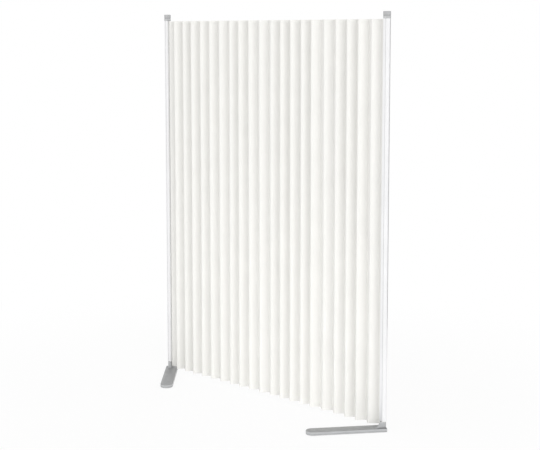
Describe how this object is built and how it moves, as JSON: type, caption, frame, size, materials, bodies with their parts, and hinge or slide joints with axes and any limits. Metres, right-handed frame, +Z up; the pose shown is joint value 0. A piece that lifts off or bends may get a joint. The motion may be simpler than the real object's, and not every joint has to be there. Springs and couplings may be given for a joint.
{
  "type": "partition screen",
  "caption": "Free-standing accordion partition screen: ivory pleated fabric between aluminium posts that stand on flat swivelling feet.",
  "frame": {"origin": "on the floor, on the left post's axis, at the centre of the left heel pad's face", "axes": "+Z up along the posts, +X from the left post to the right post, -Y towards the front that the feet point to"},
  "size_m": [1.4428, 0.3058, 1.8],
  "materials": {
    "post": "satin clear-anodised extrusion",
    "cap": "light grey moulding, fine matt texture",
    "foot_cover": "silver-grey satin moulding",
    "foot_steel": "zinc-plated plate and turned stem",
    "bush": "natural low-friction plastic",
    "pad": "black rubber disc",
    "fabric": "ivory stiffened polyester weave, heat-set in pleats"
  },
  "bodies": {
    "left_post": {"left_post": "post", "left_cap": "cap", "left_edge_strip": "fabric", "left_swivel_bush": "bush"},
    "left_foot": {"left_foot_cover": "foot_cover", "left_foot_plate": "foot_steel", "left_foot_stem": "foot_steel", "left_foot_screw": "foot_steel", "left_heel_pad": "pad", "left_tip_pad": "pad"},
    "panel_01": {"pleat_panel_01": "fabric"},
    "panel_02": {"pleat_panel_02": "fabric"},
    "panel_03": {"pleat_panel_03": "fabric"},
    "panel_04": {"pleat_panel_04": "fabric"},
    "panel_05": {"pleat_panel_05": "fabric"},
    "panel_06": {"pleat_panel_06": "fabric"},
    "panel_07": {"pleat_panel_07": "fabric"},
    "panel_08": {"pleat_panel_08": "fabric"},
    "panel_09": {"pleat_panel_09": "fabric"},
    "panel_10": {"pleat_panel_10": "fabric"},
    "panel_11": {"pleat_panel_11": "fabric"},
    "panel_12": {"pleat_panel_12": "fabric"},
    "panel_13": {"pleat_panel_13": "fabric"},
    "panel_14": {"pleat_panel_14": "fabric"},
    "panel_15": {"pleat_panel_15": "fabric"},
    "panel_16": {"pleat_panel_16": "fabric"},
    "panel_17": {"pleat_panel_17": "fabric"},
    "panel_18": {"pleat_panel_18": "fabric"},
    "panel_19": {"pleat_panel_19": "fabric"},
    "panel_20": {"pleat_panel_20": "fabric"},
    "panel_21": {"pleat_panel_21": "fabric"},
    "panel_22": {"pleat_panel_22": "fabric"},
    "panel_23": {"pleat_panel_23": "fabric"},
    "panel_24": {"pleat_panel_24": "fabric"},
    "panel_25": {"pleat_panel_25": "fabric"},
    "panel_26": {"pleat_panel_26": "fabric"},
    "panel_27": {"pleat_panel_27": "fabric"},
    "panel_28": {"pleat_panel_28": "fabric"},
    "panel_29": {"pleat_panel_29": "fabric"},
    "panel_30": {"pleat_panel_30": "fabric"},
    "panel_31": {"pleat_panel_31": "fabric"},
    "panel_32": {"pleat_panel_32": "fabric"},
    "panel_33": {"pleat_panel_33": "fabric"},
    "panel_34": {"pleat_panel_34": "fabric"},
    "panel_35": {"pleat_panel_35": "fabric"},
    "panel_36": {"pleat_panel_36": "fabric"},
    "panel_37": {"pleat_panel_37": "fabric"},
    "panel_38": {"pleat_panel_38": "fabric"},
    "panel_39": {"pleat_panel_39": "fabric"},
    "panel_40": {"pleat_panel_40": "fabric"},
    "right_post": {"right_post": "post", "right_cap": "cap", "right_edge_strip": "fabric", "right_swivel_bush": "bush"},
    "right_foot": {"right_foot_cover": "foot_cover", "right_foot_plate": "foot_steel", "right_foot_stem": "foot_steel", "right_foot_screw": "foot_steel", "right_heel_pad": "pad", "right_tip_pad": "pad"}
  },
  "joints": [
    {"name": "fold_01", "type": "hinge", "parent": "left_post", "child": "panel_01", "pos_m": [0.0405, 0.0165, 0.9], "axis": [0, 0, -1], "range_deg": [-12, 32]},
    {"name": "fold_02", "type": "hinge", "parent": "panel_01", "child": "panel_02", "pos_m": [0.07284, -0.01705, 0.9], "axis": [0, 0, 1], "range_deg": [-24, 64]},
    {"name": "fold_03", "type": "hinge", "parent": "panel_02", "child": "panel_03", "pos_m": [0.10518, 0.0165, 0.9], "axis": [0, 0, -1], "range_deg": [-24, 64]},
    {"name": "fold_04", "type": "hinge", "parent": "panel_03", "child": "panel_04", "pos_m": [0.13719, -0.01737, 0.9], "axis": [0, 0, 1], "range_deg": [-24, 64]},
    {"name": "fold_05", "type": "hinge", "parent": "panel_04", "child": "panel_05", "pos_m": [0.1692, 0.0165, 0.9], "axis": [0, 0, -1], "range_deg": [-24, 64]},
    {"name": "fold_06", "type": "hinge", "parent": "panel_05", "child": "panel_06", "pos_m": [0.1989, -0.01941, 0.9], "axis": [0, 0, 1], "range_deg": [-24, 64]},
    {"name": "fold_07", "type": "hinge", "parent": "panel_06", "child": "panel_07", "pos_m": [0.2286, 0.0165, 0.9], "axis": [0, 0, -1], "range_deg": [-24, 64]},
    {"name": "fold_08", "type": "hinge", "parent": "panel_07", "child": "panel_08", "pos_m": [0.2616, -0.0164, 0.9], "axis": [0, 0, 1], "range_deg": [-24, 64]},
    {"name": "fold_09", "type": "hinge", "parent": "panel_08", "child": "panel_09", "pos_m": [0.2946, 0.0165, 0.9], "axis": [0, 0, -1], "range_deg": [-24, 64]},
    {"name": "fold_10", "type": "hinge", "parent": "panel_09", "child": "panel_10", "pos_m": [0.32694, -0.01705, 0.9], "axis": [0, 0, 1], "range_deg": [-24, 64]},
    {"name": "fold_11", "type": "hinge", "parent": "panel_10", "child": "panel_11", "pos_m": [0.35928, 0.0165, 0.9], "axis": [0, 0, -1], "range_deg": [-24, 64]},
    {"name": "fold_12", "type": "hinge", "parent": "panel_11", "child": "panel_12", "pos_m": [0.39294, -0.01573, 0.9], "axis": [0, 0, 1], "range_deg": [-24, 64]},
    {"name": "fold_13", "type": "hinge", "parent": "panel_12", "child": "panel_13", "pos_m": [0.4266, 0.0165, 0.9], "axis": [0, 0, -1], "range_deg": [-24, 64]},
    {"name": "fold_14", "type": "hinge", "parent": "panel_13", "child": "panel_14", "pos_m": [0.46158, -0.01429, 0.9], "axis": [0, 0, 1], "range_deg": [-24, 64]},
    {"name": "fold_15", "type": "hinge", "parent": "panel_14", "child": "panel_15", "pos_m": [0.49656, 0.0165, 0.9], "axis": [0, 0, -1], "range_deg": [-24, 64]},
    {"name": "fold_16", "type": "hinge", "parent": "panel_15", "child": "panel_16", "pos_m": [0.52725, -0.01857, 0.9], "axis": [0, 0, 1], "range_deg": [-24, 64]},
    {"name": "fold_17", "type": "hinge", "parent": "panel_16", "child": "panel_17", "pos_m": [0.55794, 0.0165, 0.9], "axis": [0, 0, -1], "range_deg": [-24, 64]},
    {"name": "fold_18", "type": "hinge", "parent": "panel_17", "child": "panel_18", "pos_m": [0.5916, -0.01573, 0.9], "axis": [0, 0, 1], "range_deg": [-24, 64]},
    {"name": "fold_19", "type": "hinge", "parent": "panel_18", "child": "panel_19", "pos_m": [0.62526, 0.0165, 0.9], "axis": [0, 0, -1], "range_deg": [-24, 64]},
    {"name": "fold_20", "type": "hinge", "parent": "panel_19", "child": "panel_20", "pos_m": [0.66024, -0.01429, 0.9], "axis": [0, 0, 1], "range_deg": [-24, 64]},
    {"name": "fold_21", "type": "hinge", "parent": "panel_20", "child": "panel_21", "pos_m": [0.69522, 0.0165, 0.9], "axis": [0, 0, -1], "range_deg": [-24, 64]},
    {"name": "fold_22", "type": "hinge", "parent": "panel_21", "child": "panel_22", "pos_m": [0.73119, -0.01313, 0.9], "axis": [0, 0, 1], "range_deg": [-24, 64]},
    {"name": "fold_23", "type": "hinge", "parent": "panel_22", "child": "panel_23", "pos_m": [0.76716, 0.0165, 0.9], "axis": [0, 0, -1], "range_deg": [-24, 64]},
    {"name": "fold_24", "type": "hinge", "parent": "panel_23", "child": "panel_24", "pos_m": [0.79752, -0.01885, 0.9], "axis": [0, 0, 1], "range_deg": [-24, 64]},
    {"name": "fold_25", "type": "hinge", "parent": "panel_24", "child": "panel_25", "pos_m": [0.82788, 0.0165, 0.9], "axis": [0, 0, -1], "range_deg": [-24, 64]},
    {"name": "fold_26", "type": "hinge", "parent": "panel_25", "child": "panel_26", "pos_m": [0.85956, -0.01767, 0.9], "axis": [0, 0, 1], "range_deg": [-24, 64]},
    {"name": "fold_27", "type": "hinge", "parent": "panel_26", "child": "panel_27", "pos_m": [0.89124, 0.0165, 0.9], "axis": [0, 0, -1], "range_deg": [-24, 64]},
    {"name": "fold_28", "type": "hinge", "parent": "panel_27", "child": "panel_28", "pos_m": [0.92391, -0.01673, 0.9], "axis": [0, 0, 1], "range_deg": [-24, 64]},
    {"name": "fold_29", "type": "hinge", "parent": "panel_28", "child": "panel_29", "pos_m": [0.95658, 0.0165, 0.9], "axis": [0, 0, -1], "range_deg": [-24, 64]},
    {"name": "fold_30", "type": "hinge", "parent": "panel_29", "child": "panel_30", "pos_m": [0.98727, -0.01857, 0.9], "axis": [0, 0, 1], "range_deg": [-24, 64]},
    {"name": "fold_31", "type": "hinge", "parent": "panel_30", "child": "panel_31", "pos_m": [1.01796, 0.0165, 0.9], "axis": [0, 0, -1], "range_deg": [-24, 64]},
    {"name": "fold_32", "type": "hinge", "parent": "panel_31", "child": "panel_32", "pos_m": [1.05558, -0.011, 0.9], "axis": [0, 0, 1], "range_deg": [-24, 64]},
    {"name": "fold_33", "type": "hinge", "parent": "panel_32", "child": "panel_33", "pos_m": [1.0932, 0.0165, 0.9], "axis": [0, 0, -1], "range_deg": [-24, 64]},
    {"name": "fold_34", "type": "hinge", "parent": "panel_33", "child": "panel_34", "pos_m": [1.12719, -0.01538, 0.9], "axis": [0, 0, 1], "range_deg": [-24, 64]},
    {"name": "fold_35", "type": "hinge", "parent": "panel_34", "child": "panel_35", "pos_m": [1.16118, 0.0165, 0.9], "axis": [0, 0, -1], "range_deg": [-24, 64]},
    {"name": "fold_36", "type": "hinge", "parent": "panel_35", "child": "panel_36", "pos_m": [1.19319, -0.01737, 0.9], "axis": [0, 0, 1], "range_deg": [-24, 64]},
    {"name": "fold_37", "type": "hinge", "parent": "panel_36", "child": "panel_37", "pos_m": [1.2252, 0.0165, 0.9], "axis": [0, 0, -1], "range_deg": [-24, 64]},
    {"name": "fold_38", "type": "hinge", "parent": "panel_37", "child": "panel_38", "pos_m": [1.25655, -0.01798, 0.9], "axis": [0, 0, 1], "range_deg": [-24, 64]},
    {"name": "fold_39", "type": "hinge", "parent": "panel_38", "child": "panel_39", "pos_m": [1.2879, 0.0165, 0.9], "axis": [0, 0, -1], "range_deg": [-24, 64]},
    {"name": "fold_40", "type": "hinge", "parent": "panel_39", "child": "panel_40", "pos_m": [1.3242, -0.01272, 0.9], "axis": [0, 0, 1], "range_deg": [-24, 64]},
    {"name": "fold_41", "type": "hinge", "parent": "panel_40", "child": "right_post", "pos_m": [1.3605, 0.0165, 0.9], "axis": [0, 0, -1], "range_deg": [-12, 32]},
    {"name": "left_foot_swivel", "type": "hinge", "parent": "left_post", "child": "left_foot", "pos_m": [0, 0, 0.03], "axis": [0, 0, 1], "range_deg": [-134, 0]},
    {"name": "right_foot_swivel", "type": "hinge", "parent": "right_post", "child": "right_foot", "pos_m": [1.401, 0, 0.03], "axis": [0, 0, 1], "range_deg": [0, 127]}
  ],
  "couplings": [
    {"joint": "fold_02", "follows": "fold_01", "ratio": 2},
    {"joint": "fold_03", "follows": "fold_01", "ratio": 2},
    {"joint": "fold_04", "follows": "fold_01", "ratio": 2},
    {"joint": "fold_05", "follows": "fold_01", "ratio": 2},
    {"joint": "fold_06", "follows": "fold_01", "ratio": 2},
    {"joint": "fold_07", "follows": "fold_01", "ratio": 2},
    {"joint": "fold_08", "follows": "fold_01", "ratio": 2},
    {"joint": "fold_09", "follows": "fold_01", "ratio": 2},
    {"joint": "fold_10", "follows": "fold_01", "ratio": 2},
    {"joint": "fold_11", "follows": "fold_01", "ratio": 2},
    {"joint": "fold_12", "follows": "fold_01", "ratio": 2},
    {"joint": "fold_13", "follows": "fold_01", "ratio": 2},
    {"joint": "fold_14", "follows": "fold_01", "ratio": 2},
    {"joint": "fold_15", "follows": "fold_01", "ratio": 2},
    {"joint": "fold_16", "follows": "fold_01", "ratio": 2},
    {"joint": "fold_17", "follows": "fold_01", "ratio": 2},
    {"joint": "fold_18", "follows": "fold_01", "ratio": 2},
    {"joint": "fold_19", "follows": "fold_01", "ratio": 2},
    {"joint": "fold_20", "follows": "fold_01", "ratio": 2},
    {"joint": "fold_21", "follows": "fold_01", "ratio": 2},
    {"joint": "fold_22", "follows": "fold_01", "ratio": 2},
    {"joint": "fold_23", "follows": "fold_01", "ratio": 2},
    {"joint": "fold_24", "follows": "fold_01", "ratio": 2},
    {"joint": "fold_25", "follows": "fold_01", "ratio": 2},
    {"joint": "fold_26", "follows": "fold_01", "ratio": 2},
    {"joint": "fold_27", "follows": "fold_01", "ratio": 2},
    {"joint": "fold_28", "follows": "fold_01", "ratio": 2},
    {"joint": "fold_29", "follows": "fold_01", "ratio": 2},
    {"joint": "fold_30", "follows": "fold_01", "ratio": 2},
    {"joint": "fold_31", "follows": "fold_01", "ratio": 2},
    {"joint": "fold_32", "follows": "fold_01", "ratio": 2},
    {"joint": "fold_33", "follows": "fold_01", "ratio": 2},
    {"joint": "fold_34", "follows": "fold_01", "ratio": 2},
    {"joint": "fold_35", "follows": "fold_01", "ratio": 2},
    {"joint": "fold_36", "follows": "fold_01", "ratio": 2},
    {"joint": "fold_37", "follows": "fold_01", "ratio": 2},
    {"joint": "fold_38", "follows": "fold_01", "ratio": 2},
    {"joint": "fold_39", "follows": "fold_01", "ratio": 2},
    {"joint": "fold_40", "follows": "fold_01", "ratio": 2},
    {"joint": "fold_41", "follows": "fold_01", "ratio": 1}
  ]
}
